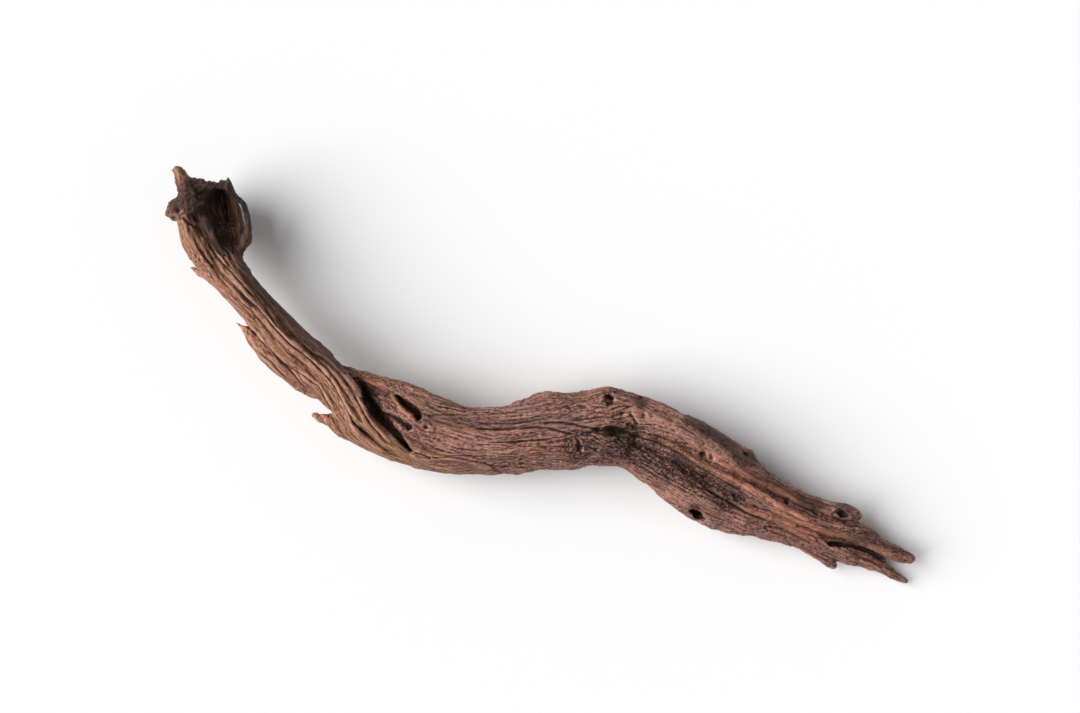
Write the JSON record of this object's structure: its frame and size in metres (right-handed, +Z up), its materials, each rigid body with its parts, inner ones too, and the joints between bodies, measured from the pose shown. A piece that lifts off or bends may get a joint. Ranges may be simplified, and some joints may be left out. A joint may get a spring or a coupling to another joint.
{
  "type": "piece of driftwood",
  "caption": "Gnarled S-curved driftwood branch that lies on a surface: hollow burl with a horn, raised twisted arm, folded belly, creased body and a splintered, forked tail.",
  "frame": {"origin": "centre of the outline in plan, at the surface that the wood lies on", "axes": "+X along the piece, from the burl to the forked tail; +Y across it, towards the burl's side; +Z up from the surface"},
  "size_m": [0.5244, 0.2912, 0.0716],
  "materials": {
    "weathered_wood": "dry, unfinished weathered wood: matt reddish brown with tan fibres on the arm and near-black cracks"
  },
  "bodies": {
    "root": {"driftwood": "weathered_wood"}
  },
  "joints": []
}
